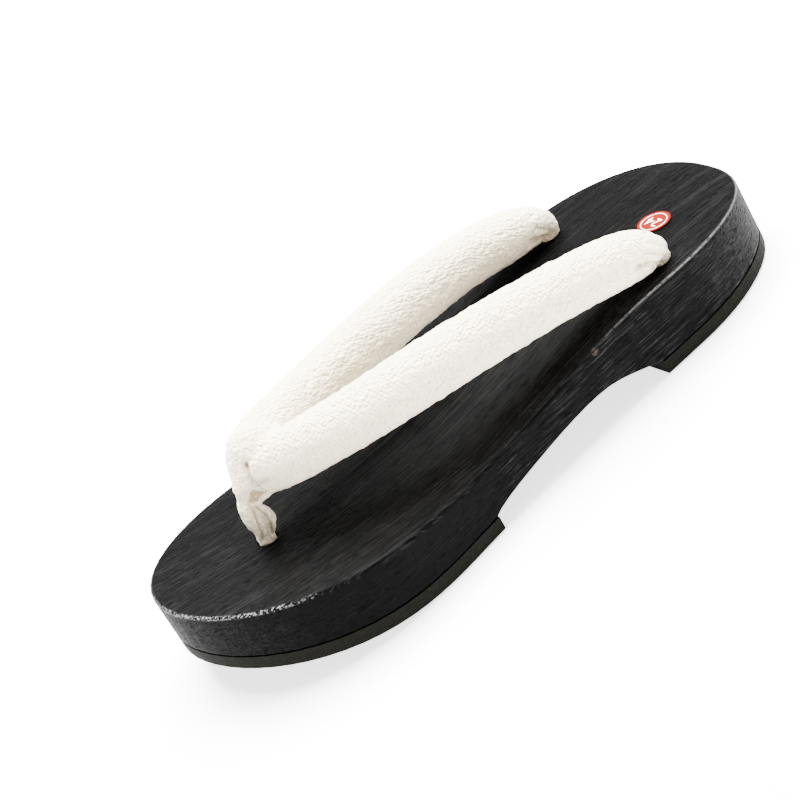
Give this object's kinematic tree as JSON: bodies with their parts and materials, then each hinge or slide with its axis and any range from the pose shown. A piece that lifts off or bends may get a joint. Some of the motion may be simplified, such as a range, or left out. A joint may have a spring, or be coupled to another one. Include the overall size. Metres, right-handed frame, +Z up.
{
  "type": "geta sandal",
  "caption": "Low wooden geta for the left foot: one board with an arch, rubber pads, a padded V strap and a toe thong.",
  "frame": {"origin": "on the floor, under the middle of the sandal's bounding box", "axes": "+Y from toe to heel, +Z up, +X to the outer side of the left foot"},
  "size_m": [0.0944, 0.245, 0.0638],
  "materials": {
    "wood": "burnt black and brushed, open grain, satin",
    "rubber": "matte speckled foam rubber",
    "cloth": "off-white crepe, matte",
    "label": "semi-gloss film"
  },
  "bodies": {
    "root": {"wood_body": "wood", "front_rubber": "rubber", "heel_rubber": "rubber", "strap": "cloth", "toe_thong": "cloth", "size_sticker": "label"}
  },
  "joints": []
}
